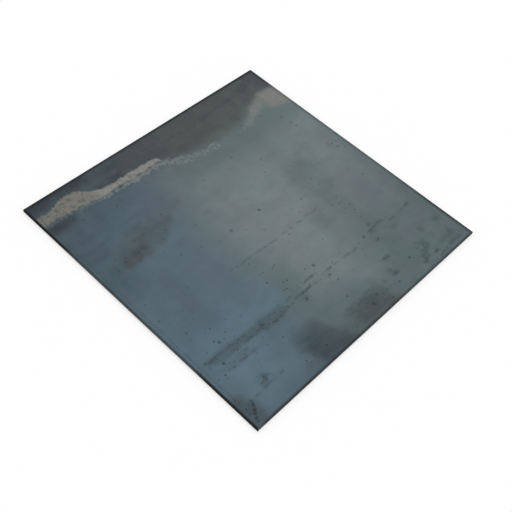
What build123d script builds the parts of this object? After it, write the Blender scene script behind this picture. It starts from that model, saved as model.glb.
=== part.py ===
from build123d import *
from math import radians, tan
import os

# Square blank of hot-rolled steel plate lying flat, all sizes in mm
# X and Y run along the cut edges, Y is the rolling direction and Z is up from the floor
side = 300.0
thickness = 3.0

# Sheared edge, the same on all four sides, in zones from the top down
# The blade draws the upper face down, shears a bright land, then the rest breaks away
roll_over_width = 1.25
roll_over_depth = 0.25
burnish_depth = 1.05
fracture_angle = 3.0
burr_relief = 0.10

# Where the zones end, worked out from the sizes above
half_side = side / 2
flat_half = half_side - roll_over_width
land_top = thickness - roll_over_depth
fracture_top = land_top - burnish_depth
foot_half = half_side - fracture_top * tan(radians(fracture_angle))

# The section between two opposite edges is drawn across X, then across Y
# What both runs share is the plate, whose four corners come out as plain mitres
with BuildPart() as plate:
    for across, mode in ((Plane.XZ, Mode.ADD), (Plane.YZ, Mode.INTERSECT)):
        with BuildSketch(across):
            with BuildLine():
                # Flat underside, relieved burr, leaning fracture and upright land
                Polyline(
                    (0, 0),
                    (foot_half - burr_relief, 0),
                    (foot_half, burr_relief),
                    (half_side, fracture_top),
                    (half_side, land_top),
                )
                # Roll-over, which leaves the land upright and meets the upper face level
                EllipticalCenterArc(
                    center=(flat_half, land_top),
                    x_radius=roll_over_width,
                    y_radius=roll_over_depth,
                    start_angle=0,
                    arc_size=90,
                )
                Line((flat_half, thickness), (0, thickness))
                mirror(about=Plane.YZ)
            make_face()
        extrude(amount=half_side, both=True, mode=mode)

plate.part.label = "steel_plate"

os.makedirs("parts", exist_ok=True)
export_step(plate.part, "parts/steel_plate.step")
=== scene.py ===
from math import cos, pi, radians, sin, tan

import bpy
import numpy as np
from mathutils import Matrix, Vector


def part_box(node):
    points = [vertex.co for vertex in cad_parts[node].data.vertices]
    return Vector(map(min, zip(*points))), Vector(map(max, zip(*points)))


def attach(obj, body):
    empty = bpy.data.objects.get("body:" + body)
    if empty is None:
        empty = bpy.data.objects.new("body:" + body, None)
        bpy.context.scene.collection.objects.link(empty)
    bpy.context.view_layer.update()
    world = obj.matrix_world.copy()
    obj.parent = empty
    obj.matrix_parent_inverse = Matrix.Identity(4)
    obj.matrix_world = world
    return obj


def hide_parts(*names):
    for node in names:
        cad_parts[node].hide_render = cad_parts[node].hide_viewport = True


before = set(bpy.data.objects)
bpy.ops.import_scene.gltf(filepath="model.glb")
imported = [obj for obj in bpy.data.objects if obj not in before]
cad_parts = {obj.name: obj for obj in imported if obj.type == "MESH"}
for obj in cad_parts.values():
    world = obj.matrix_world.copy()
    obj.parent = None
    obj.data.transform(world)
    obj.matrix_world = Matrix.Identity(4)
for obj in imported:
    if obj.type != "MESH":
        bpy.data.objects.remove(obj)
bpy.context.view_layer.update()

# The plate's own map is in millimetres: X and Y from the middle, Y along the rolling direction
MM = 0.001
plate_low, plate_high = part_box("steel_plate")
SIDE = (plate_high[0] - plate_low[0]) / MM
THICKNESS = (plate_high[2] - plate_low[2]) / MM
HALF = SIDE / 2

# Zones of the sheared edge, as in the solid
ROLL_OVER_WIDTH = 1.25
ROLL_OVER_DEPTH = 0.25
BURNISH_DEPTH = 1.05
FRACTURE_ANGLE = 3.0
BURR_RELIEF = 0.10
FLAT_HALF = HALF - ROLL_OVER_WIDTH
LAND_TOP = THICKNESS - ROLL_OVER_DEPTH
FRACTURE_TOP = LAND_TOP - BURNISH_DEPTH
FOOT_HALF = HALF - FRACTURE_TOP * tan(radians(FRACTURE_ANGLE))

# Mesh of the two faces, and of each zone of the edge
CELLS = 236
BORDER_CELL = 0.5
UNDERSIDE_INSET = 2.0
ROLL_OVER_STEPS = 8
BURNISH_STEPS = 4
FRACTURE_STEPS = 6
SHARP_ANGLE = 38.0

# The faces' relief fades out over this width before the edge
RELIEF_FADE = 3.0
# The wall shows the underside's marks up to this height
FOOT_HEIGHT = 0.5
# Dark rim of the far, left, right and near edge: how far inside the flat's end it starts, then how far
# outside that it is full
RIM_SPREADS = ((3.3, -0.3), (2.8, -0.3), (1.4, 0.6), (0.9, 0.6))

# Where the photograph was taken from
CAMERA_AZIMUTH = 36.28
CAMERA_ELEVATION = 52.825
CAMERA_DISTANCE = 0.77184
CAMERA_ROLL = 9.589
CAMERA_TARGET = Vector((0.02852, -0.02592, 0.0))
FOCAL_PIXELS = 844.52
FRAME_PIXELS = 512
SENSOR_WIDTH = 36.0
CLIP_START = 0.01


# Smooth random fields and soft marks on the plate's map. Each field has a seed of its own

def smoothstep(low, high, value):
    t = np.clip((value - low) / (high - low), 0.0, 1.0)
    return t * t * (3.0 - 2.0 * t)


def noise(x, y, cell_x, cell_y, seed):
    """Smooth random field from -1 to 1 that changes about once a cell."""
    size = 64
    table = np.random.default_rng(seed).uniform(-1.0, 1.0, (size, size))
    u = x / cell_x + size * 16
    v = y / cell_y + size * 16
    i = np.floor(u).astype(int)
    j = np.floor(v).astype(int)
    a = u - i
    b = v - j
    a = a * a * (3.0 - 2.0 * a)
    b = b * b * (3.0 - 2.0 * b)
    near_i, far_i = i % size, (i + 1) % size
    near_j, far_j = j % size, (j + 1) % size
    low = table[near_i, near_j] * (1.0 - a) + table[far_i, near_j] * a
    high = table[near_i, far_j] * (1.0 - a) + table[far_i, far_j] * a
    return low * (1.0 - b) + high * b


def ragged(x, y, seed):
    """The unevenness of rolled oxide: blotches, short tears and long streaks along the rolling."""
    blotches = 0.55 * noise(x, y, 10, 15, seed) + 0.30 * noise(x, y, 4, 8, seed + 1)
    streaks = 0.12 * noise(x, y, 3.4, 40, seed + 2) + 0.20 * noise(x, y, 4.0, 10, seed + 3)
    return blotches + streaks + 0.28 * noise(x, y, 11, 4.5, seed + 4)


def blot(x, y, mark, rag=0.0):
    """Cover of one soft-edged patch: centre, half size, softness and strength."""
    cx, cy, half_x, half_y, soft, strength = mark
    reach = (np.abs((x - cx) / half_x) ** 3 + np.abs((y - cy) / half_y) ** 3) ** (1 / 3)
    return strength * (1.0 - smoothstep(1.0 - soft, 1.0 + soft, reach + rag))


def outlined(x, y, shape, rag):
    """Cover inside a given outline: strength, softness and raggedness in mm, then its corners."""
    strength, soft, tear, corners = shape
    inside = np.zeros(len(x), dtype=bool)
    nearest = np.full(len(x), np.inf)
    for (ax, ay), (bx, by) in zip(corners, corners[1:] + corners[:1]):
        run_x, run_y = bx - ax, by - ay
        along = np.clip(((x - ax) * run_x + (y - ay) * run_y) / (run_x ** 2 + run_y ** 2), 0.0, 1.0)
        nearest = np.minimum(nearest, np.hypot(x - ax - along * run_x, y - ay - along * run_y))
        if ay != by:
            inside ^= ((ay > y) != (by > y)) & (x < ax + run_x * (y - ay) / run_y)
    depth = np.where(inside, nearest, -nearest) + tear * rag
    return strength * smoothstep(-soft, soft, depth)


def over(*covers):
    """Several covers laid one over another."""
    bare = 1.0
    for cover in covers:
        bare = bare * (1.0 - np.clip(cover, 0.0, 1.0))
    return 1.0 - bare


# Broad tints of the upper face by kind of oxide, the broad pale tint over the middle being a painted soft
# highlight: centre x, y, half size x, y, softness, strength
UPPER_TINTS = {
    # Paler oxide; the first, broad tint over the middle is a painted soft highlight
    "pale": (
        (12, 28, 60, 48, 0.7, 0.56), (-32, 124, 50, 34, 0.7, 0.45), (-22, 143, 44, 12, 0.8, 0.6),
        (96, 38, 22, 20, 0.8, 0.62), (62, 20, 24, 12, 0.8, 0.22), (86, 80, 16, 12, 0.8, 0.24),
        (-38, 40, 24, 34, 0.8, 0.25), (76, 6, 30, 20, 0.7, 0.18),
    ),
    "dim": (
        (124, 100, 54, 60, 0.7, 0.72), (-86, 110, 14, 50, 0.7, 0.4), (-84, 30, 14, 60, 0.6, 0.4),
        (44, 112, 26, 12, 0.7, 0.28), (130, -4, 26, 30, 0.6, 0.75), (60, 152, 100, 18, 0.8, 0.6),
        (90, -48, 26, 24, 0.8, 0.6), (102, -64, 18, 26, 0.8, 0.68), (142, -70, 14, 32, 0.8, 0.85),
        (120, -20, 13, 10, 0.8, 0.62), (112, 146, 44, 14, 0.8, 0.5), (95, 143, 7, 8, 0.8, 0.45),
        (93, 124, 7, 9, 0.8, 0.4), (142, 44, 10, 18, 0.8, 0.5),
    ),
    "blue": (
        (112, -104, 60, 56, 0.45, 0.66), (119, 6, 13, 18, 0.8, 0.22), (-2, -128, 22, 14, 0.8, 0.25),
        (68, -82, 13, 40, 0.5, 0.5), (20, -100, 95, 46, 0.6, 0.42), (62, -138, 24, 14, 0.8, 0.85),
        (-86, -98, 26, 48, 0.7, 0.38),
    ),
    "deep": (
        (-95, -118, 30, 46, 0.7, 0.62), (-102, -55, 12, 50, 0.7, 0.3), (-54, -139, 48, 21, 0.8, 0.72),
        (34, -124, 20, 11, 0.8, 0.34), (-119, -80, 10, 14, 0.8, 0.4), (147, -100, 9, 50, 0.7, 0.34),
        (22, -106, 36, 8, 0.6, 0.35), (84, -142, 46, 10, 0.8, 0.2),
    ),
    "dark": (
        (-142, 140, 26, 24, 0.6, 0.7), (-133, -40, 18, 74, 0.8, 0.4), (-150, 50, 16, 110, 0.6, 0.5),
        (-146, -118, 16, 40, 0.7, 0.7), (-133, 120, 6, 6, 0.8, 0.35), (40, 52, 12, 10, 0.9, 0.26),
        (139, 12, 12, 22, 0.6, 0.42), (143, -58, 12, 34, 0.8, 0.28), (100, -70, 16, 18, 0.8, 0.18),
        (-120, 22, 14, 16, 0.8, 0.28), (-130, 8, 22, 40, 0.8, 0.62), (-111, -137, 7, 18, 0.6, 0.65),
        (-128, 4, 13, 44, 0.8, 0.45), (148, -14, 12, 18, 0.8, 0.45),
    ),
}

# Small soft dark smudges: centre x, y, half size x, y, strength
SMUDGE_SOFTNESS = 0.8
SMUDGES = (
    (115, 136, 2.6, 3.2, 0.55), (133, 134, 4.5, 2.2, 0.55), (136, 122, 2, 8, 0.45),
    (143, 128, 2, 9, 0.55), (145, 110, 1.8, 7, 0.5), (139.5, 105, 1.6, 3.4, 0.8),
    (128, 103, 2.8, 3, 0.6), (131, 96, 2.2, 3.4, 0.65), (133.5, 91, 2.2, 2.6, 0.6),
    (138, 92, 1.8, 3.4, 0.6), (140, 86, 1.8, 2.8, 0.6), (122, 100, 3, 5, 0.35),
    (113, 114, 2.6, 3, 0.4), (124, 117, 3, 3, 0.35), (112, 61, 1.8, 5, 0.6),
    (128, 39, 2, 3, 0.45), (123, 52, 2.4, 2.6, 0.45), (129, 55, 1.8, 4, 0.6),
    (93, 72, 1.8, 2.8, 0.5), (94, 97, 2.6, 3.4, 0.35), (142, 26, 1.8, 4, 0.55),
    (84, 128, 1.8, 3, 0.55), (80.5, 90, 1.8, 4, 0.2), (82.5, 77, 2.2, 3, 0.35),
    (-133, 120, 4, 5.5, 0.6), (-130, 139, 3, 3, 0.4), (-128, 97, 5, 2, 0.4),
    (-142, 74, 4, 2, 0.35), (-142, 51, 6, 2, 0.4), (-129, 57, 2.5, 3, 0.4),
    (-131, 84, 1.6, 18, 0.4), (85, -76, 4.5, 2, 0.4), (121, -112, 4, 2.2, 0.45),
    (126, -115, 2.4, 3, 0.4), (92, -28, 2.2, 3, 0.45), (78.5, -10, 1.6, 3.6, 0.45),
    (-43, -107, 6, 3, 0.35), (-46, -98, 3, 3, 0.25), (139, -76, 2, 3, 0.35),
    (-117, -50, 2.4, 1.6, 0.55), (-114, -64, 1.4, 3, 0.6), (-114.5, -72, 1.4, 2.4, 0.5),
    (-113.5, -42, 1.4, 2.6, 0.5), (-115, -57, 1.6, 1.6, 0.45), (-133, -113, 1.8, 1.6, 0.55),
    (-132, -120, 1.4, 2.4, 0.45), (-129, -128.5, 2, 1.4, 0.75), (-128, -138, 1.6, 1.8, 0.55),
    (-123.5, -102, 1.2, 2.6, 0.5), (-122, -113, 1.2, 2.4, 0.4), (-131, -143, 1.4, 1.6, 0.4),
    (-122.5, -124, 1.2, 2.4, 0.35), (-124, -134, 1.2, 2.4, 0.35),
)

# Patches with an outline of their own: strength, softness, raggedness, then corners round the outline
UPPER_PATCHES = {
    "dark": (
        (0.66, 7, 4, (
            (-154, 154), (-120, 154), (-122, 128), (-117, 118), (-110, 100), (-105, 84), (-104, 62),
            (-106, 42), (-104, 18), (-108, 0), (-115, -14), (-115, -85), (-134, -95), (-140, -110),
            (-137, -130), (-134, -154), (-154, -154),
        )),
        (0.4, 6, 4, (
            (-142, 40), (-130, 38), (-118, 8), (-116, -14), (-116, -70), (-128, -80), (-138, -60),
            (-142, -20),
        )),
        (0.42, 6, 2, (
            (110, -40), (120, -33), (136, -26), (154, -18), (154, -62), (140, -66), (127, -74),
            (114, -68), (110, -58),
        )),
        (0.62, 5, 3, ((117, -143), (124, -137), (134, -134), (154, -135), (154, -154), (117, -154))),
        (0.22, 4, 2, ((104, -60), (114, -57), (124, -70), (114, -73), (106, -70))),
        (0.45, 4, 2, ((-117, -122), (-110, -124), (-106, -154), (-118, -154))),
        (0.3, 4, 2, ((126, 32), (154, 34), (154, -6), (140, -8), (127, -16))),
    ),
    "olive": (
        (0.66, 5, 4, (
            (-154, 126), (-124, 128), (-112, 116), (-99, 94), (-96, 78), (-96, 50), (-97, 30), (-102, 12),
            (-110, -4), (-154, 6),
        )),
        (0.45, 5, 4, ((-154, 156), (-119, 156), (-121, 124), (-154, 122))),
        (0.45, 14, 4, ((-154, 40), (-118, 40), (-114, -44), (-154, -44))),
        (0.22, 10, 9, (
            (-30, 97), (0, 99), (30, 92), (60, 90), (84, 86), (84, 73), (60, 69), (36, 68), (10, 62),
            (-12, 64), (-28, 72),
        )),
        (0.35, 5, 4, ((127, 32), (154, 36), (154, -4), (140, -6), (132, -14), (127, -18))),
        (0.08, 8, 8, ((40, -20), (78, -16), (96, -28), (70, -36), (42, -34))),
    ),
    "brown": (
        (0.46, 6.5, 5.5, (
            (-68, -96), (-64, -74), (-52, -60), (-43, -66), (-36, -84), (-32, -106), (-35, -120),
            (-50, -122), (-62, -116),
        )),
        (0.58, 6, 5.5, ((-52, -92), (-38, -90), (-34, -110), (-38, -121), (-52, -118))),
        (0.36, 7, 10, ((-88, -38), (-64, -36), (-56, -58), (-58, -84), (-72, -80), (-86, -60))),
        (0.3, 4, 4, ((-126, 124), (-114, 126), (-108, 112), (-116, 104), (-126, 110))),
        (0.45, 3, 2, ((132, 17), (140, 18), (142, 9), (134, 7))),
    ),
    "block": (
        (0.18, 5, 4, (
            (-30, -60), (0, -60), (30, -57), (54, -52), (57, -70), (57, -100), (54, -116), (20, -114),
            (-10, -110), (-28, -98),
        )),
    ),
    "navy": (
        (0.42, 5, 2, (
            (116, -42), (128, -34), (140, -28), (154, -22), (154, -57), (140, -62), (128, -67),
            (116, -62),
        )),
        (0.3, 8, 3, ((-156, -84), (-138, -100), (-137, -156), (-156, -156))),
        (0.8, 7, 4, (
            (-156, -76), (-146, -84), (-142, -96), (-145, -110), (-143, -124), (-138, -134), (-132, -156),
            (-156, -156),
        )),
        (0.5, 4, 3, ((-117, -116), (-110, -122), (-106, -156), (-118, -156))),
        (0.25, 9, 4, ((-156, 156), (-132, 156), (-140, 138), (-156, 126))),
    ),
    "strip": (
        (0.5, 3, 2, ((80, -50), (87, -46), (91, -60), (91, -77), (80, -77), (79, -62))),
        (0.62, 2.4, 2, (
            (80, -76), (89, -77), (88, -92), (87, -110), (89.5, -120), (88, -132), (82, -140), (78, -141),
            (77.5, -118),
        )),
        (0.32, 3, 2, ((90, -104), (98, -97), (98, -128), (92, -136), (90, -130))),
        (0.22, 4, 3, ((116, -106), (127, -106), (128, -118), (118, -118))),
    ),
}

# Soft cream film at the top of the residue, without any grit in it
FILM = (
    (0.9, 4.5, 3, ((-115, 156), (-90, 156), (-91, 140), (-94, 127), (-117, 127), (-117, 138))),
    (0.5, 4, 2.5, ((-119, 130), (-106, 128), (-98, 108), (-90, 90), (-95, 88), (-110, 106))),
)

# Residue band beside the left edge: y, its left and right edge and how well it covers
BAND = (
    (-150, -132, -121, 0.78), (-135, -133, -121, 0.84), (-120, -138, -119, 0.92),
    (-110, -139, -118, 0.96), (-100, -136, -117, 0.98), (-90, -128, -115, 1), (-80, -122.5, -114, 1),
    (-50, -121, -113.5, 1), (-18, -120.5, -114, 1), (-15, -120, -112, 0.85), (-12, -114, -104, 0.6),
    (-4, -109, -97, 0.58), (5, -106, -92, 0.5), (14, -102, -91, 0.42), (25, -98, -90, 0.5),
    (36, -98, -88, 0.55), (44, -99, -86, 0.55), (48, -95, -92, 0.15), (66, -92, -89, 0),
    (71, -92, -87, 0.3), (80, -94, -87, 0.42), (90, -98, -91, 0.42), (100, -103, -94, 0.45),
    (110, -110, -99, 0.5), (118, -114, -101, 0.4), (128, -116, -94, 0.25), (150, -117, -90, 0.2),
)

# Comb of fine level teeth on the band's right: y, left and right edge and how well it covers
COMB = (
    (-150, -123, -118.5, 0.3),
    (-120, -120, -115, 0.36),
    (-100, -118, -113, 0.46),
    (-85, -115, -110.5, 0.66),
    (-60, -114, -108.5, 0.74),
    (-18, -113, -107.5, 0.72),
    (-6, -112, -104, 0.5),
    (0, -108, -104, 0),
)

# Lines of broken scale along the rolling direction: points x, y, then width, strength and gaps
SCALE_LINES = (
    (((84, 132), (86, 103), (80, 90), (81, 80), (82, 65), (86, 48), (85, 30), (85, 8)), 0.9, 0.46, 0.3),
    (((84, 12), (86, -8), (85, -16)), 1.6, 0.3, 0.65),
    (((86, -14), (85.5, -30), (87, -48)), 1.1, 0.7, 0.36),
    (((79.5, 0), (80.5, -30), (82, -46)), 1, 0.35, 0.6),
    (((88, -46), (89.5, -62), (90.5, -77)), 1.3, 0.66, 0.3),
    (((82, -60), (82, -76)), 1, 0.35, 0.55),
    (((85, -75), (86, -86)), 2.6, 0.55, 0.25),
    (((86.5, -88), (86.5, -114)), 1.2, 0.5, 0.4),
    (((80.5, -104), (81, -138)), 1.4, 0.42, 0.4),
    (((79, -2), (79, -14)), 1, 0.45, 0.35),
    (((98, -98), (97, -130)), 1.2, 0.5, 0.42),
    (((124.5, 31), (124.5, 0), (125, -18)), 1.6, 0.3, 0.35),
    (((146, 120), (146, 20)), 1.6, 0.25, 0.5),
    (((29, 60), (29, 0), (28, -20), (26, -58)), 0.8, 0.42, 0.55),
    (((-37, 2), (-37, -32)), 0.9, 0.25, 0.6),
    (((-60, 0), (-60, -40)), 0.9, 0.22, 0.6),
    (((-130, 66), (-130, 30), (-131, 0)), 4, 0.25, 0.35),
    (((121, -104), (122, -120)), 3.4, 0.45, 0.45),
    (((127.5, -92), (128, -136)), 1, 0.4, 0.45),
    (((126, -58), (126, -80)), 0.9, 0.3, 0.45),
    (((128, 14), (128, -12)), 2.6, 0.35, 0.5),
    (((45, 88), (60, 83), (78, 80)), 1, 0.45, 0.5),
    (((127, -135), (134, -138), (145, -145)), 0.9, 0.8, 0.35),
    (((-140, -145.2), (-60, -145.4), (20, -145.4), (146, -145.2)), 0.5, 0.36, 0.1),
)

# Where the oxide leans to lilac, or below 0 to green: centre x, y, half size x, y, lean
HUE_SOFTNESS = 0.9
HUES = (
    (14, 4, 36, 30, 0.8), (34, 110, 24, 14, 0.9), (107, 118, 8, 14, 1.2), (110, 97, 6, 7, 2),
    (125, 128, 6, 6, 1), (-42, 2, 24, 12, 0.3), (-20, 20, 14, 12, -0.5), (-76, -54, 22, 22, 1.9),
    (10, -86, 46, 28, 0.5), (20, 80, 60, 20, -0.45), (128, 78, 24, 50, -0.8), (70, -26, 40, 14, -0.9),
    (-86, 70, 20, 60, -0.8),
)

# Where fine dark specks gather: centre x, y, half size x, y, softness, density
SPECKLE = (
    (0, 0, 150, 150, 0.1, 0.035), (-10, 133, 16, 7, 0.6, 0.5), (-12, 112, 18, 9, 0.6, 0.35),
    (-14, 84, 14, 9, 0.6, 0.45), (132, 86, 16, 34, 0.5, 0.22), (136, 16, 12, 20, 0.6, 0.35),
    (85, 34, 6, 40, 0.6, 0.4), (84, -20, 12, 34, 0.6, 0.65), (60, -34, 30, 14, 0.7, 0.18),
    (84, -92, 9, 52, 0.5, 0.85), (96, -116, 5, 24, 0.5, 0.5), (122, -112, 10, 14, 0.6, 0.6),
    (134, -140, 14, 8, 0.6, 0.7), (30, 48, 10, 22, 0.6, 0.35), (50, 82, 34, 12, 0.7, 0.22),
    (60, -112, 40, 24, 0.7, 0.12), (-50, -96, 16, 26, 0.7, 0.45), (-114, -58, 3, 22, 0.5, 1),
    (-118, -50, 4, 5, 0.5, 0.9), (-129, -124, 6, 22, 0.6, 1), (-122, -106, 4, 14, 0.6, 0.9),
)

# Pits that show one by one on the upper face: centre x, y and radius
UPPER_PITS = (
    (-6, 14, 1.2), (-6, -24, 1), (-16, -77, 0.95), (-43, -104.5, 0.95), (-71, 42, 0.85),
    (-67, 0, 0.7), (-66, 124, 0.75), (-59, 126, 0.8), (30, 126, 0.9), (17, 119, 0.65),
    (-12, 136, 0.95), (-18, 134, 0.8), (-20, 131, 0.7), (72, 4, 1.15), (89, 7, 1),
    (98, 9, 0.85), (115, 1, 0.95), (70, -4.5, 0.75), (67, -27, 0.98), (57, -41.5, 0.95),
    (47, -40, 0.7), (50, -27, 0.7), (32, -39, 0.75), (26, -50, 0.75), (126.5, 78.5, 1),
    (140, 105, 0.8), (129, 54, 0.85), (137, 49.5, 0.95), (132, 22.5, 1), (137, 13, 1.15),
    (112, 60, 0.75), (142, 88, 0.75), (135, -51, 0.95), (105, -72, 0.9), (66, -83, 0.65),
    (57, -113, 0.85), (69, -119.5, 0.95), (72, -116, 1.05), (69, -105, 0.75), (89, -127.5, 1.15),
    (97, -134, 0.95), (23, -139, 0.75), (2.5, -137, 0.75), (-39, -130, 0.75), (82, 65, 0.85),
    (47, 85, 0.85), (55, 83, 0.7), (126, 92, 0.75), (92, 73, 0.75), (58, 33, 0.65),
    (12, 54, 0.8), (-36, 53, 0.65), (134, -75, 0.85), (138, -72, 0.75), (93, -28, 0.95),
    (74, -33, 0.85), (60, -96, 0.6), (14, -97, 0.6), (-4, -41, 0.55), (3, -13, 0.55),
    (47, -131, 0.75), (87, -109, 0.75), (79, -139, 0.75), (41, -117, 0.6),
    (128, -135, 0.75), (131.5, -137, 0.95), (135, -139, 1.05), (138, -141.5, 1.15), (141.5, -143.5, 1.05),
    (144.5, -145, 0.75),
)

# Pits of at least this radius have a dark stain round them, which ends at this many radii
STAINED_RADIUS = 1.0
STAIN_REACH = 2.1
STAIN_STRENGTH = 0.75

# Pits of the underside, scattered at random. One that would meet another is left out
UNDER_PITS = 60
UNDER_PIT_REACH = 140
UNDER_PIT_RADII = (0.5, 1.1)
SCATTER_SEED = 5
WOBBLE_SEED = 7

# Kinds of oxide. The place in this row gives each its own random thickness
KINDS = ("pale", "dim", "blue", "deep", "dark", "olive", "brown", "block", "navy", "strip")
KIND_SEED = 120
KIND_UNEVENNESS = 0.28
# How much the shared raggedness moves the edge of a broad tint, as a share of its half size
TINT_RAG = 0.22

# Oxides of the underside: strength, the levels of its field where it starts and is full, cells, seed
LOWER_OXIDES = {
    "pale": (0.5, 0.1, 0.8, 70, 110, 61),
    "dim": (0.6, 0, 0.8, 45, 80, 62),
    "blue": (0.7, -0.1, 0.7, 80, 120, 63),
    "deep": (0.4, 0.2, 0.8, 35, 60, 64),
    "dark": (0.7, 0.35, 0.8, 38, 90, 65),
    "olive": (0.5, 0.4, 0.9, 30, 45, 66),
    "brown": (0.5, 0.45, 0.9, 24, 40, 67),
    "block": (0.4, 0.4, 0.8, 50, 60, 71),
    "strip": (0.5, 0.7, 0.9, 12, 90, 72),
    "navy": (0.4, 0.5, 0.9, 60, 60, 73),
}


def spine(y, points):
    """X of a line of points at each y, with the points in any order of y."""
    xs, ys = zip(*sorted(points, key=lambda point: point[1]))
    return np.interp(y, ys, xs)


def scale_line(x, y, line):
    """Cover of one broken line, which runs along Y or, where its points say so, along X."""
    points, width, strength, gaps = line
    (x0, y0), (x1, y1) = points[0], points[-1]
    if abs(x1 - x0) > abs(y1 - y0):
        return scale_line(y, x, (tuple((b, a) for a, b in points), width, strength, gaps))
    wander = 0.6 * noise(x, y, 30, 7, 31)
    away = np.abs(x - spine(y, points) + wander)
    ends = smoothstep(-2.0, 3.0, y - min(y0, y1)) * smoothstep(-2.0, 3.0, max(y0, y1) - y)
    broken = smoothstep(gaps - 0.4, gaps + 0.3, 0.5 + 0.9 * noise(x, y, 2.2, 3.4, 32))
    return strength * ends * broken * (1.0 - smoothstep(0.2, 1.0, away / (width + 0.8)))


def residue_band(x, y):
    """Cover of the pale residue: the band itself, and a comb of short level teeth on its right."""
    tooth = 1.5 * noise(x, y, 30, 2.2, 41)
    bend = 0.9 * noise(x, y, 12, 6.0, 42)
    covers = []
    for table, ragged_edge in ((BAND, 0.3), (COMB, 1.0)):
        ys, lefts, rights, strengths = zip(*table)
        left_edge = smoothstep(-2.2, 2.2, x - np.interp(y, ys, lefts) + bend + 0.3 * tooth)
        right_edge = smoothstep(-2.6, 2.6, np.interp(y, ys, rights) - x + bend + ragged_edge * tooth)
        covers.append(left_edge * right_edge * np.interp(y, ys, strengths))
    return np.maximum(*covers)


def pit_stain(x, y):
    """A dark stain round each of the widest pits."""
    wide = [pit for pit in UPPER_PITS if pit[2] >= STAINED_RADIUS]
    away = [np.hypot(x - cx, y - cy) / radius for cx, cy, radius in wide]
    return over(*(STAIN_STRENGTH * (1.0 - smoothstep(0.8, STAIN_REACH, radii)) for radii in away))


def unevenness(x, y, seed):
    """Light and dark, and lilac and green, of the oxide all over, each from about -1 to 1."""
    clouds = 0.50 * noise(x, y, 7, 12, seed) + 0.45 * noise(x, y, 17, 28, seed + 1)
    streaks = 0.06 * noise(x, y, 2.6, 60, seed + 2) + 0.25 * noise(x, y, 34, 9, seed + 3)
    hue = 0.60 * noise(x, y, 13, 19, seed + 4) + 0.40 * noise(x, y, 5, 8, seed + 5)
    return clouds + streaks, hue


def upper_marks(x, y):
    """Every mark of the upper face, as a cover from 0 to 1 for each point of the map."""
    rag = ragged(x, y, 11)
    marks = {}
    for step, kind in enumerate(KINDS):
        tints = [blot(x, y, tint, TINT_RAG * rag) for tint in UPPER_TINTS.get(kind, ())]
        patches = [outlined(x, y, patch, rag) for patch in UPPER_PATCHES.get(kind, ())]
        thickness = 1.0 + KIND_UNEVENNESS * ragged(x, y, KIND_SEED + 10 * step)
        marks[kind] = np.clip(over(*tints, *patches) * thickness, 0.0, 1.0)
    # Darker and bluer towards the near edge
    marks["cool"] = smoothstep(0.0, -72.0, y + 8.0 * noise(x, y, 40, 25, 21) + 5.0 * rag)
    marks["film"] = over(*(outlined(x, y, patch, rag) for patch in FILM))
    marks["residue"] = residue_band(x, y)
    marks["aged"] = smoothstep(-82.0, -94.0, y)
    marks["line"] = over(*(scale_line(x, y, line) for line in SCALE_LINES))
    frayed = 0.5 * noise(x, y, 2.4, 3.2, 22)
    smudges = [blot(x, y, (*place, SMUDGE_SOFTNESS, dark), frayed) for *place, dark in SMUDGES]
    marks["smudge"] = over(*smudges)
    marks["speckle"] = over(*(blot(x, y, patch) for patch in SPECKLE))
    marks["tone"], hue = unevenness(x, y, 211)
    leans = [blot(x, y, (*place, HUE_SOFTNESS, lean), TINT_RAG * rag) for *place, lean in HUES]
    marks["hue"] = hue + sum(leans)
    return marks


def lower_marks(x, y):
    """Marks of the underside, which the photograph doesn't show: the same oxides, laid at random."""
    wx = x + 6.0 * ragged(x, y, 51)
    wy = y + 6.0 * ragged(x, y, 56)
    marks = {kind: np.zeros_like(x) for kind in ("smudge", "film", "residue", "aged")}
    for kind, (strength, start, full, cell_x, cell_y, seed) in LOWER_OXIDES.items():
        marks[kind] = strength * smoothstep(start, full, noise(wx, wy, cell_x, cell_y, seed))
    marks["cool"] = 0.5 + 0.5 * noise(wx, wy, 120, 150, 68)
    marks["line"] = 0.45 * smoothstep(0.80, 0.95, noise(x, y, 3, 60, 69))
    marks["speckle"] = 0.10 + 0.35 * smoothstep(0.2, 0.9, noise(x, y, 30, 45, 70))
    marks["tone"], marks["hue"] = unevenness(x, y, 231)
    return marks


def upper_relief(x, y, marks):
    """Height of the upper face over the flat, in millimetres: roll waves and the oxide's thickness."""
    waves = 0.030 * noise(x, y, 60, 90, 81) + 0.010 * noise(x, y, 12, 40, 82)
    oxide = 0.012 * marks["dark"] + 0.025 * marks["residue"] + 0.012 * marks["film"] - 0.030 * marks["line"]
    peel = 0.006 * noise(x, y, 2.6, 5.0, 83)
    return waves - 0.045 + oxide + peel


def lower_relief(x, y, marks):
    """Height of the underside over the floor, never below it."""
    waves = 0.020 * (1.0 + noise(x, y, 60, 90, 91))
    peel = 0.006 * (1.0 + noise(x, y, 3.0, 6.0, 92))
    return waves + peel + 0.030 * marks["line"]


# The plate's skin as a mesh

# Places of the two materials on it
SCALE_SLOT, WALL_SLOT = 0, 1
PIT_SPOKES = 16
PIT_WOBBLE = 0.16
# A pit stays inside this share of the cells round it
PIT_CELL_SHARE = 0.93
# A pit's rings from its lip inwards: share of the radius, share of the depth, how dark
PIT_RINGS = ((1.25, 0.0, 0.0), (1.0, 0.20, 0.85), (0.65, 0.85, 1.0))
PIT_DEPTH_SHARE = 0.22


class Skin:
    """Points and faces of the plate's surface, gathered zone by zone."""

    def __init__(self):
        self.points = []
        self.faces = []
        self.slots = []
        self.pits = []

    def add_point(self, x, y, z, pit=0.0):
        self.points.append((x, y, z))
        self.pits.append(pit)
        return len(self.points) - 1

    def add_face(self, corners, slot=SCALE_SLOT):
        self.faces.append(tuple(corners))
        self.slots.append(slot)


def grid_lines(half, cells):
    """Where a face's grid lines lie: evenly, but for one narrow cell along each edge."""
    inner = np.linspace(-half + BORDER_CELL, half - BORDER_CELL, cells - 1)
    return np.concatenate(([-half], inner, [half]))


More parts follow.
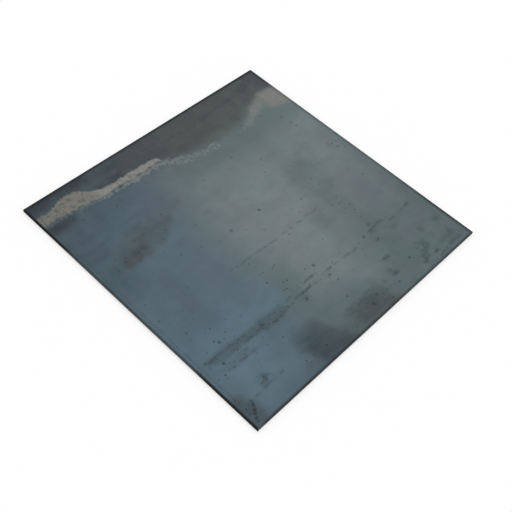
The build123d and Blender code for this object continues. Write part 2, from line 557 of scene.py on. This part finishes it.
def perimeter(cells):
    """Grid places round a square face, anticlockwise seen from above."""
    return (
        [(i, 0) for i in range(cells)]
        + [(cells, j) for j in range(cells)]
        + [(i, cells) for i in range(cells, 0, -1)]
        + [(0, j) for j in range(cells, 0, -1)]
    )


def add_square_face(skin, half, z, cells, pits, faces_up):
    """A flat square face with its pits let in. Returns the points round its edge."""
    lines = grid_lines(half, cells)
    index = [[skin.add_point(a, b, z) for b in lines] for a in lines]
    taken = set()
    rng = np.random.default_rng(WOBBLE_SEED)
    for x, y, radius in pits:
        i = int(np.abs(lines - x).argmin())
        j = int(np.abs(lines - y).argmin())
        block = {(i + a, j + b) for a in (-1, 0) for b in (-1, 0)}
        if taken & block or not (1 < i < cells - 1 and 1 < j < cells - 1):
            continue
        taken |= block
        add_pit(skin, index, lines, (i, j), radius, z, rng, faces_up)
    for i in range(cells):
        for j in range(cells):
            if (i, j) in taken:
                continue
            corners = [index[i][j], index[i + 1][j], index[i + 1][j + 1], index[i][j + 1]]
            skin.add_face(corners if faces_up else corners[::-1])
    return [index[i][j] for i, j in perimeter(cells)]


def add_pit(skin, index, lines, place, radius, z, rng, faces_up):
    """A small round crater let into the four cells round one grid point."""
    i, j = place
    x, y = lines[i], lines[j]
    rim = [(1, 0), (1, 1), (0, 1), (-1, 1), (-1, 0), (-1, -1), (0, -1), (1, -1)]
    border = [index[i + a][j + b] for a, b in rim]
    inward = -1.0 if faces_up else 1.0
    depth = inward * PIT_DEPTH_SHARE * radius
    wobble = 1.0 + PIT_WOBBLE * rng.standard_normal(PIT_SPOKES).clip(-1.5, 1.5)
    rings = []
    for share, deep, dark in PIT_RINGS:
        ring = []
        for spoke in range(PIT_SPOKES):
            turn = 2 * pi * spoke / PIT_SPOKES
            reach = min(radius * share * wobble[spoke], PIT_CELL_SHARE * (lines[i + 1] - x))
            spot = (x + reach * cos(turn), y + reach * sin(turn), z + depth * deep)
            ring.append(skin.add_point(*spot, dark))
        rings.append(ring)
    # The old grid point becomes the bottom of the pit
    skin.points[index[i][j]] = (x, y, z + depth)
    skin.pits[index[i][j]] = 1.0

    def add(*corners):
        skin.add_face(corners if faces_up else corners[::-1])

    outer = rings[0]
    for k, here in enumerate(border):
        there = border[(k + 1) % len(border)]
        a, b, c = outer[2 * k], outer[2 * k + 1], outer[(2 * k + 2) % PIT_SPOKES]
        add(here, b, a)
        add(here, there, b)
        add(there, c, b)
    for wide, narrow in zip(rings, rings[1:]):
        for k in range(PIT_SPOKES):
            m = (k + 1) % PIT_SPOKES
            add(wide[k], wide[m], narrow[m], narrow[k])
    for k in range(PIT_SPOKES):
        add(rings[-1][k], rings[-1][(k + 1) % PIT_SPOKES], index[i][j])


def edge_rings():
    """Half size and height of each ring from the upper face down to the underside."""
    rings = []
    for step in range(1, ROLL_OVER_STEPS + 1):
        turn = pi / 2 * (1.0 - step / ROLL_OVER_STEPS)
        rings.append((FLAT_HALF + ROLL_OVER_WIDTH * cos(turn), LAND_TOP + ROLL_OVER_DEPTH * sin(turn)))
    for step in range(1, BURNISH_STEPS + 1):
        rings.append((HALF, LAND_TOP - BURNISH_DEPTH * step / BURNISH_STEPS))
    for step in range(1, FRACTURE_STEPS + 1):
        down = step / FRACTURE_STEPS
        height = FRACTURE_TOP + (BURR_RELIEF - FRACTURE_TOP) * down
        rings.append((HALF + (FOOT_HALF - HALF) * down, height))
    rings.append((FOOT_HALF - BURR_RELIEF, 0.0))
    return rings


def build_skin():
    """The whole surface, and how many points it has after the upper face and after the edge."""
    skin = Skin()
    rng = np.random.default_rng(SCATTER_SEED)
    under_pits = []
    for _ in range(UNDER_PITS):
        place = rng.uniform(-UNDER_PIT_REACH, UNDER_PIT_REACH, 2)
        under_pits.append((*place, rng.uniform(*UNDER_PIT_RADII)))

    top_edge = add_square_face(skin, FLAT_HALF, THICKNESS, CELLS, UPPER_PITS, True)
    upper_count = len(skin.points)
    flat = [skin.points[p][:2] for p in top_edge]

    rings = [top_edge]
    for half, height in edge_rings():
        grow = half / FLAT_HALF
        rings.append([skin.add_point(x * grow, y * grow, height) for x, y in flat])
    side_count = len(skin.points)
    for level, (above, below) in enumerate(zip(rings, rings[1:])):
        slot = SCALE_SLOT if level < ROLL_OVER_STEPS else WALL_SLOT
        for k in range(len(above)):
            m = (k + 1) % len(above)
            skin.add_face((above[k], below[k], below[m], above[m]), slot)

    foot_half = FOOT_HALF - BURR_RELIEF
    inner = add_square_face(skin, foot_half - UNDERSIDE_INSET, 0.0, CELLS // 2, under_pits, False)
    outer = rings[-1]
    for k in range(len(inner)):
        m = (k + 1) % len(inner)
        a, b, c = outer[2 * k], outer[2 * k + 1], outer[(2 * k + 2) % len(outer)]
        skin.add_face((a, inner[k], b))
        skin.add_face((b, inner[k], inner[m]))
        skin.add_face((b, inner[m], c))
    return skin, upper_count, side_count


def rim_strength(x, y):
    """How dark the roll-over shows along each edge: by side and by place along it."""
    left = 1.0 - 0.08 * smoothstep(110, 70, np.abs(y))
    right = 0.80 + 0.15 * smoothstep(20, -40, y) - 0.75 * smoothstep(-138, -146, y)
    far = 0.37 + 0.50 * smoothstep(-112, -135, x) + 0.38 * smoothstep(30, 120, x)
    near = 0.74
    side = np.where(np.abs(x) > np.abs(y), np.where(x < 0, left, right), np.where(y > 0, far, near))
    return side * (1.0 + 0.10 * noise(x, y, 14, 14, 95))


def edge_shade_strength(x, y):
    """Painted shade: the near edge near-black at both its ends, and the left edge a little darkened."""
    near = smoothstep(-72, -98, x) + 0.94 * smoothstep(66, 96, x)
    left = 0.20 + 0.30 * smoothstep(100, 135, y) + 0.22 * smoothstep(-80, -120, y)
    return np.where(-y >= np.abs(x), near, np.where(-x > np.abs(y), left, 0.0))


def edge_relief(x, y, z):
    """How far the sheared wall stands in at each point: fine striations, then a torn fracture."""
    along = x + y
    across = x - y
    torn = 1.0 - smoothstep(FRACTURE_TOP - 0.5, FRACTURE_TOP + 0.1, z)
    score = 0.010 * noise(along, across, 1.4, 400, 101)
    tear = 0.045 * noise(along, z, 2.7, 0.7, 102) + 0.035 * noise(along, z, 6.0, 1.6, 103)
    return (0.012 + score) * (1.0 - torn) + (0.080 + tear) * torn


def rim_cover(x, y):
    """How far into the dark rim each point lies."""
    reach = np.maximum(np.abs(x), np.abs(y))
    *covers, near = (smoothstep(FLAT_HALF - start, FLAT_HALF + full, reach) for start, full in RIM_SPREADS)
    return np.select((y > np.abs(x), x < -np.abs(y), x > np.abs(y)), covers, near)


def all_marks(x, y, z, pits, on_top, underneath):
    """The marks of every point, each from the map of its own face."""
    upper = upper_marks(x, y)
    lower = lower_marks(x, y)
    low_down = underneath | (~on_top & (z < FOOT_HEIGHT))
    marks = {kind: np.where(low_down, lower[kind], upper[kind]) for kind in upper}
    marks["pit"] = np.maximum(pits, np.where(on_top, pit_stain(x, y), 0.0))
    into_rim = rim_cover(x, y)
    marks["rim"] = np.where(underneath, 0.5 * into_rim, rim_strength(x, y) * into_rim)
    # Painted shade on the ends of the near edge and on the left edge
    marks["edge_shade"] = np.where(underneath, 0.0, edge_shade_strength(x, y) * into_rim)
    marks["fracture"] = 1.0 - smoothstep(FRACTURE_TOP - 0.45, FRACTURE_TOP + 0.05, z)
    return marks


def relieved(x, y, z, marks, on_top, underneath):
    """The points moved by the faces' relief and by the wall's, which stands in from the section."""
    reach = np.maximum(np.abs(x), np.abs(y))
    fade = 1.0 - smoothstep(FLAT_HALF - RELIEF_FADE, FLAT_HALF, reach)
    z = z + np.where(on_top, fade * upper_relief(x, y, marks), 0.0)
    z = z + np.where(underneath, fade * lower_relief(x, y, marks), 0.0)
    wall = ~on_top & ~underneath & (z < LAND_TOP + 0.01) & (z > BURR_RELIEF / 2)
    inset = np.where(wall, edge_relief(x, y, z), 0.0)
    x_wall = np.abs(x) >= np.abs(y) - 0.01
    y_wall = np.abs(y) >= np.abs(x) - 0.01
    moved_x = x - np.where(x_wall, np.sign(x) * inset, 0.0)
    moved_y = y - np.where(y_wall, np.sign(y) * inset, 0.0)
    return np.stack([moved_x, moved_y, z], 1)


def plate_mesh():
    skin, upper_count, side_count = build_skin()
    x, y, z = np.array(skin.points).T
    number = np.arange(len(x))
    on_top = number < upper_count
    underneath = number >= side_count
    marks = all_marks(x, y, z, skin.pits, on_top, underneath)
    points = relieved(x, y, z, marks, on_top, underneath)

    mesh = bpy.data.meshes.new("plate_skin")
    mesh.from_pydata(points * MM, [], skin.faces)
    mesh.polygons.foreach_set("material_index", skin.slots)
    mesh.polygons.foreach_set("use_smooth", [True] * len(skin.faces))
    for kind, cover in marks.items():
        layer = mesh.attributes.new(name=kind, type="FLOAT", domain="POINT")
        layer.data.foreach_set("value", np.ascontiguousarray(cover, dtype=np.float32))
    mesh.update()
    mesh.set_sharp_from_angle(angle=radians(SHARP_ANGLE))
    return mesh


# Materials

def linear(red, green, blue):
    """A colour as it is seen, 0 to 255 a channel, as the shader takes it."""
    def channel(c):
        c = c / 255
        return c / 12.92 if c <= 0.04045 else ((c + 0.055) / 1.055) ** 2.4
    return (channel(red), channel(green), channel(blue), 1.0)


SCALE_GREY = linear(104, 115, 117)
COOL_GREY = linear(88, 104, 111)
# Pale oxide, also the colour of the painted soft highlight over the middle of the upper face
PALE_GREY_AND_HIGHLIGHT = linear(119, 130, 132)
DIM_GREY = linear(86, 99, 102)
OXIDE_BLUE = linear(89, 111, 124)
DEEP_BLUE = linear(68, 84, 93)
SLATE = linear(61, 69, 74)
OLIVE = linear(76, 83, 80)
BLOCK_LILAC = linear(76, 89, 101)
STRIP_GREY = linear(68, 82, 86)
NAVY = linear(46, 54, 62)
TEMPER_BROWN = linear(70, 75, 79)
RESIDUE_CREAM = linear(141, 141, 136)
RESIDUE_TAN = linear(127, 125, 117)
RESIDUE_GREY = linear(110, 112, 108)
RESIDUE_WORN = linear(96, 97, 93)
RESIDUE_FLECK = linear(124, 133, 134)
RESIDUE_FILM = linear(135, 133, 128)
LINE_GREY = linear(52, 62, 68)
PIT_BLACK = linear(38, 43, 44)
RIM_DARK = linear(38, 42, 45)
EDGE_BURNISH = linear(52, 58, 61)
EDGE_FRACTURE = linear(34, 37, 39)
EDGE_RUST = linear(62, 50, 42)
# Near-black of the painted shade on the near edge's ends
EDGE_SHADE_BLACK = linear(5, 6, 7)

# Each kind of oxide's colour, in the order in which they lie over each other
OXIDES = {
    "pale": PALE_GREY_AND_HIGHLIGHT,
    "dim": DIM_GREY,
    "blue": OXIDE_BLUE,
    "deep": DEEP_BLUE,
    "block": BLOCK_LILAC,
    "dark": SLATE,
    "olive": OLIVE,
    "brown": TEMPER_BROWN,
    "navy": NAVY,
    "strip": STRIP_GREY,
}

# How far the oxide's light and dark swings, and its red, green and blue between lilac and green
TONE_SWING = 0.075
HUE_SWING = (0.034, -0.015, 0.014)
SPECULAR_LEVEL = 0.25

# Shares of the dark colour in the specks and the pits, and of metal in bare oxide and in the cut wall
SPECK_SHARE = 0.26
PIT_SHARE = 0.55
OXIDE_METAL = 0.45
WALL_METAL = 0.6


class Graph:
    """Short words for the node calls that the materials repeat."""

    def __init__(self, name):
        self.material = bpy.data.materials.new(name)
        self.material.use_nodes = True
        self.nodes = self.material.node_tree.nodes
        self.links = self.material.node_tree.links
        self.shader = self.nodes["Principled BSDF"]
        self.shader.inputs["Specular IOR Level"].default_value = SPECULAR_LEVEL

    def put(self, socket, value):
        if isinstance(value, bpy.types.NodeSocket):
            self.links.new(value, socket)
        else:
            socket.default_value = value

    def mark(self, name):
        node = self.nodes.new("ShaderNodeAttribute")
        node.attribute_name = name
        return node.outputs["Fac"]

    def math(self, operation, first, *others):
        """The values taken one after another by one operation."""
        total = first
        for value in others:
            node = self.nodes.new("ShaderNodeMath")
            node.operation = operation
            self.put(node.inputs[0], total)
            self.put(node.inputs[1], value)
            total = node.outputs[0]
        return total

    def plus(self, *values):
        return self.math("ADD", *values)

    def minus(self, *values):
        return self.math("SUBTRACT", *values)

    def times(self, *values):
        return self.math("MULTIPLY", *values)

    def most(self, *values):
        return self.math("MAXIMUM", *values)

    def held(self, value):
        """The value, from its own node, held between 0 and 1."""
        value.node.use_clamp = True
        return value

    def ease(self, value, low, high, start=0.0, end=1.0):
        """From start at low to end at high, with soft shoulders."""
        node = self.nodes.new("ShaderNodeMapRange")
        node.interpolation_type = "SMOOTHSTEP"
        sockets = {"Value": value, "From Min": low, "From Max": high, "To Min": start, "To Max": end}
        for name, number in sockets.items():
            self.put(node.inputs[name], number)
        return node.outputs["Result"]

    def mix(self, factor, a, b):
        node = self.nodes.new("ShaderNodeMix")
        node.data_type = "RGBA"
        self.put(node.inputs[0], factor)
        self.put(node.inputs[6], a)
        self.put(node.inputs[7], b)
        return node.outputs[2]

    def millimetres(self, stretch=(1.0, 1.0, 1.0)):
        """Place on the object in millimetres, divided by a stretch for each axis."""
        place = self.nodes.new("ShaderNodeTexCoord")
        scale = self.nodes.new("ShaderNodeVectorMath")
        scale.operation = "MULTIPLY"
        self.links.new(place.outputs["Object"], scale.inputs[0])
        scale.inputs[1].default_value = [1.0 / (MM * s) for s in stretch]
        return scale.outputs[0]

    def noise(self, place, cell, detail=2.0, roughness=0.5):
        node = self.nodes.new("ShaderNodeTexNoise")
        self.put(node.inputs["Vector"], place)
        node.inputs["Scale"].default_value = 1.0 / cell
        node.inputs["Detail"].default_value = detail
        node.inputs["Roughness"].default_value = roughness
        return node.outputs["Fac"]

    def cells(self, place, cell):
        """Distance from the nearest of a scatter of points, in cells, and two random numbers for it."""
        node = self.nodes.new("ShaderNodeTexVoronoi")
        self.put(node.inputs["Vector"], place)
        node.inputs["Scale"].default_value = 1.0 / cell
        split = self.nodes.new("ShaderNodeSeparateColor")
        self.links.new(node.outputs["Color"], split.inputs[0])
        return node.outputs["Distance"], split.outputs[0], split.outputs[1]

    def bump(self, height, distance_mm, strength):
        node = self.nodes.new("ShaderNodeBump")
        node.inputs["Strength"].default_value = strength
        node.inputs["Distance"].default_value = distance_mm * MM
        self.put(node.inputs["Height"], height)
        self.put(self.shader.inputs["Normal"], node.outputs[0])


def speck_cover(g, place, cell, size, density):
    """Fine specks: in each cell one, if its random number lies under the density there."""
    distance, chance, girth = g.cells(place, cell)
    radius = g.ease(girth, 0.0, 1.0, 0.45 * size / cell, size / cell)
    inside = g.ease(g.math("DIVIDE", distance, radius), 1.25, 0.45)
    return g.times(inside, g.ease(g.minus(density, chance), -0.02, 0.02))


class MillScale(Graph):
    """Hot-rolled oxide: kinds of oxide by their marks, broken up by random fields from 0 to 1."""

    def __init__(self):
        super().__init__("mill_scale")
        self.flat = self.millimetres()
        self.clouds = self.noise(self.millimetres((1.0, 1.6, 1.0)), 9.0, 4.0, 0.6)
        self.grain = self.noise(self.millimetres((1.0, 14.0, 1.0)), 1.3, 3.0, 0.6)
        self.fine = self.noise(self.flat, 0.9, 2.0, 0.6)
        self.dashes = self.noise(self.millimetres((2.2, 1.0, 1.0)), 1.25, 1.5, 0.5)
        self.flakes = self.noise(self.millimetres((1.2, 1.0, 1.0)), 3.3, 1.0, 0.5)
        self.streaky = self.noise(self.millimetres((1.0, 4.0, 1.0)), 1.8, 2.0, 0.6)

    def lay(self, colour, covers):
        """Colours laid over the first one, each by its cover."""
        for cover, tint in covers:
            colour = self.mix(cover, colour, tint)
        return colour

    def oxide(self):
        """Colour of the bare oxide, each kind of it thickened and thinned a little by clouds and streaks."""
        uneven = self.plus(self.times(self.clouds, 0.9), self.times(self.streaky, 0.35), 0.375)
        # Darker and bluer towards the near edge
        colour = self.mix(self.mark("cool"), SCALE_GREY, COOL_GREY)
        covers = [(self.held(self.times(self.mark(kind), uneven)), tint) for kind, tint in OXIDES.items()]
        return self.tinted(self.lay(colour, covers))

    def tinted(self, colour):
        """The colour made lighter and darker, and more lilac or more green, from place to place."""
        light = self.plus(
            self.times(self.mark("tone"), TONE_SWING),
            1.0,
            self.ease(self.clouds, 0.3, 0.7, -0.035, 0.035),
            self.ease(self.grain, 0.25, 0.75, -0.006, 0.006),
            self.ease(self.fine, 0.25, 0.75, -0.010, 0.010),
        )
        hue = self.mark("hue")
        shade = self.nodes.new("ShaderNodeCombineXYZ")
        for axis, swing in enumerate(HUE_SWING):
            self.put(shade.inputs[axis], self.plus(light, self.times(hue, swing)))
        product = self.nodes.new("ShaderNodeVectorMath")
        product.operation = "MULTIPLY"
        self.put(product.inputs[0], colour)
        self.put(product.inputs[1], shade.outputs[0])
        return product.outputs[0]

    def grit_cover(self, residue, solid):
        """Cover of the grit: soft flakes where it is thin, and short level dashes where it is thick."""
        dashed = self.times(self.minus(self.dashes, 0.5), 0.45)
        flaked = self.times(self.minus(self.flakes, 0.5), self.ease(residue, 0.02, 0.30, 0.0, 1.25))
        broken = self.plus(self.times(solid, dashed), self.times(self.minus(1.0, solid), flaked))
        return self.ease(self.plus(residue, broken), self.ease(solid, 0.0, 1.0, 0.22, 0.16), 0.90)

    def grit_colour(self, solid):
        """Cream grit, more tan where it is old, grey in its gaps, worn in spots and pale in thin flecks."""
        aged = self.mark("aged")
        cream = self.mix(aged, RESIDUE_CREAM, RESIDUE_TAN)
        cream = self.mix(self.ease(self.dashes, 0.25, 0.50), RESIDUE_GREY, cream)
        worn = self.times(aged, self.ease(self.flakes, 0.46, 0.34, 0.0, 0.45))
        cream = self.mix(worn, cream, RESIDUE_WORN)
        return self.mix(self.most(solid, aged), RESIDUE_FLECK, cream)


def mill_scale():
    """The material of both faces and of the roll-over."""
    g = MillScale()
    residue = g.mark("residue")
    solid = g.ease(residue, 0.60, 0.95)
    grit = g.grit_cover(residue, solid)
    film = g.times(g.mark("film"), g.ease(g.streaky, 0.3, 0.7, 0.60, 1.0))
    crust = g.most(grit, film)

    line = g.held(g.times(g.mark("line"), g.ease(g.streaky, 0.30, 0.62, 0.45, 1.1)))
    smudge = g.times(g.mark("smudge"), g.ease(g.streaky, 0.25, 0.65, 0.50, 0.85))
    density = g.mark("speckle")
    round_specks = speck_cover(g, g.flat, 3.6, 1.15, g.times(density, 0.7))
    long_specks = speck_cover(g, g.millimetres((1.0, 2.4, 1.0)), 3.0, 0.85, g.times(density, 0.8))
    specks = g.most(round_specks, long_specks)
    pit = g.mark("pit")
    rim = g.held(g.times(g.mark("rim"), g.ease(g.streaky, 0.2, 0.6, 0.85, 1.05)))

    colour = g.lay(g.oxide(), (
        (film, RESIDUE_FILM),
        (g.times(grit, g.ease(solid, 0.0, 1.0, 0.78, 0.94)), g.grit_colour(solid)),
        (line, LINE_GREY),
        (smudge, LINE_GREY),
        (g.times(specks, SPECK_SHARE), PIT_BLACK),
        (g.times(pit, PIT_SHARE), PIT_BLACK),
        (rim, RIM_DARK),
        # Painted shade: near-black at the ends of the near edge
        (g.mark("edge_shade"), EDGE_SHADE_BLACK),
    ))
    g.put(g.shader.inputs["Base Color"], colour)

    # Duller where anything lies on the oxide, and without metal there
    rough = g.plus(g.ease(g.clouds, 0.2, 0.8, 0.46, 0.58), g.times(crust, 0.28))
    rough = g.held(g.plus(rough, g.times(g.most(specks, pit, rim), 0.25)))
    g.put(g.shader.inputs["Roughness"], rough)
    bare = g.minus(OXIDE_METAL, g.times(g.most(crust, g.most(pit, rim)), OXIDE_METAL))
    g.put(g.shader.inputs["Metallic"], bare)

    height = g.plus(g.times(g.fine, 0.5), g.times(g.grain, 0.15), g.times(grit, g.dashes, 0.5))
    height = g.minus(height, g.times(specks, 0.9), g.times(line, 0.8))
    g.bump(height, 0.03, 0.4)
    return g.material


def sheared_edge():
    """The cut wall: a burnished land with upright scores over a dull torn fracture."""
    g = Graph("sheared_edge")
    scores = g.noise(g.millimetres((1.0, 1.0, 30.0)), 0.35, 3.0, 0.65)
    torn = g.noise(g.millimetres((1.0, 1.0, 0.8)), 0.55, 4.0, 0.65)
    blotches = g.noise(g.millimetres(), 14.0, 3.0, 0.6)
    edge_of_tear = g.times(g.minus(torn, 0.5), 1.1)
    fracture = g.ease(g.plus(g.mark("fracture"), edge_of_tear), 0.35, 0.65)
    burnish = g.mix(g.ease(scores, 0.35, 0.65), EDGE_FRACTURE, EDGE_BURNISH)
    tear = g.mix(g.ease(torn, 0.35, 0.75), EDGE_FRACTURE, EDGE_BURNISH)
    tear = g.mix(g.ease(blotches, 0.52, 0.70, 0.0, 0.55), tear, EDGE_RUST)
    # Painted shade: the wall goes near-black, rough and without metal at the near edge's ends
    edge_shade = g.mark("edge_shade")
    g.put(g.shader.inputs["Base Color"], g.mix(edge_shade, g.mix(fracture, burnish, tear), EDGE_SHADE_BLACK))
    g.put(g.shader.inputs["Roughness"], g.most(g.ease(fracture, 0.0, 1.0, 0.34, 0.68), edge_shade))
    g.put(g.shader.inputs["Metallic"], g.ease(edge_shade, 0.0, 1.0, WALL_METAL, 0.0))
    g.bump(g.mix(fracture, scores, torn), 0.05, 0.7)
    return g.material


# The plate

plate = bpy.data.objects.new("plate_skin", plate_mesh())
bpy.context.collection.objects.link(plate)
plate.data.materials.append(mill_scale())
plate.data.materials.append(sheared_edge())
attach(plate, "root")
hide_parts("steel_plate")

# Floor, light and background

FLOOR_HALF = 12.0
# The floor lies this much under the plate, so that the two faces don't fight
FLOOR_DROP = 0.00005
FLOOR_WHITE = 0.60
FLOOR_LIFT = 0.48
SKY_SHARE = 0.62
KEY_SHARE = 0.24
KEY_AZIMUTH = 115
KEY_HEIGHT = 62
KEY_SPREAD = 55


def floor():
    corners = ((-1, -1), (1, -1), (1, 1), (-1, 1))
    mesh = bpy.data.meshes.new("floor")
    mesh.from_pydata([(a * FLOOR_HALF, b * FLOOR_HALF, -FLOOR_DROP) for a, b in corners], [], [(0, 1, 2, 3)])
    surface = bpy.data.objects.new("floor", mesh)
    bpy.context.collection.objects.link(surface)
    material = bpy.data.materials.new("pale_floor")
    material.use_nodes = True
    tree = material.node_tree
    tree.nodes.clear()
    white = tree.nodes.new("ShaderNodeBsdfDiffuse")
    white.inputs["Color"].default_value = (FLOOR_WHITE, FLOOR_WHITE, FLOOR_WHITE, 1.0)
    lift = tree.nodes.new("ShaderNodeEmission")
    tree.links.new(split_strength(tree, 0.0, FLOOR_LIFT), lift.inputs["Strength"])
    both = tree.nodes.new("ShaderNodeAddShader")
    tree.links.new(white.outputs[0], both.inputs[0])
    tree.links.new(lift.outputs[0], both.inputs[1])
    out = tree.nodes.new("ShaderNodeOutputMaterial")
    tree.links.new(both.outputs[0], out.inputs["Surface"])
    mesh.materials.append(material)


def split_strength(tree, lighting, seen):
    """One strength for lighting, another for what the camera sees, also in a reflection or through glass."""
    path = tree.nodes.new("ShaderNodeLightPath")
    total = path.outputs["Is Camera Ray"]
    for name in ("Is Glossy Ray", "Is Transmission Ray"):
        add = tree.nodes.new("ShaderNodeMath")
        add.operation = "MAXIMUM"
        tree.links.new(total, add.inputs[0])
        tree.links.new(path.outputs[name], add.inputs[1])
        total = add.outputs[0]
    share = tree.nodes.new("ShaderNodeMapRange")
    share.inputs["To Min"].default_value = lighting
    share.inputs["To Max"].default_value = seen
    tree.links.new(total, share.inputs["Value"])
    return share.outputs["Result"]


def sky():
    world = bpy.data.worlds.new("studio")
    bpy.context.scene.world = world
    world.use_nodes = True
    tree = world.node_tree
    background = tree.nodes["Background"]
    background.inputs["Color"].default_value = (1.0, 1.0, 1.0, 1.0)
    tree.links.new(split_strength(tree, SKY_SHARE, 1.0), background.inputs["Strength"])


def key_light():
    """A broad soft light from the right, as even over the floor as a far window."""
    height = radians(KEY_HEIGHT)
    lamp = bpy.data.lights.new("key", "SUN")
    lamp.angle = radians(KEY_SPREAD)
    lamp.energy = KEY_SHARE * pi / sin(height)
    holder = bpy.data.objects.new("key", lamp)
    bpy.context.collection.objects.link(holder)
    turn = radians(KEY_AZIMUTH)
    towards = Vector((sin(turn) * cos(height), -cos(turn) * cos(height), sin(height)))
    holder.rotation_mode = "QUATERNION"
    holder.rotation_quaternion = towards.to_track_quat("Z", "Y")


def camera():
    """The photograph's view, with its slight roll."""
    turn, tilt, roll = radians(CAMERA_AZIMUTH), radians(CAMERA_ELEVATION), radians(CAMERA_ROLL)
    back = Vector((sin(turn) * cos(tilt), -cos(turn) * cos(tilt), sin(tilt)))
    level = (-back).cross(Vector((0, 0, 1))).normalized()
    upright = level.cross(-back)
    right = cos(roll) * level + sin(roll) * upright
    up = -sin(roll) * level + cos(roll) * upright
    data = bpy.data.cameras.new("camera")
    data.sensor_fit = "HORIZONTAL"
    data.sensor_width = SENSOR_WIDTH
    data.lens = FOCAL_PIXELS / FRAME_PIXELS * SENSOR_WIDTH
    data.clip_start = CLIP_START
    holder = bpy.data.objects.new("camera", data)
    bpy.context.collection.objects.link(holder)
    turned = Matrix((right, up, back)).transposed().to_4x4()
    holder.matrix_world = Matrix.Translation(CAMERA_TARGET + back * CAMERA_DISTANCE) @ turned
    bpy.context.scene.camera = holder


floor()
sky()
key_light()
camera()
bpy.context.scene.view_settings.view_transform = "Standard"
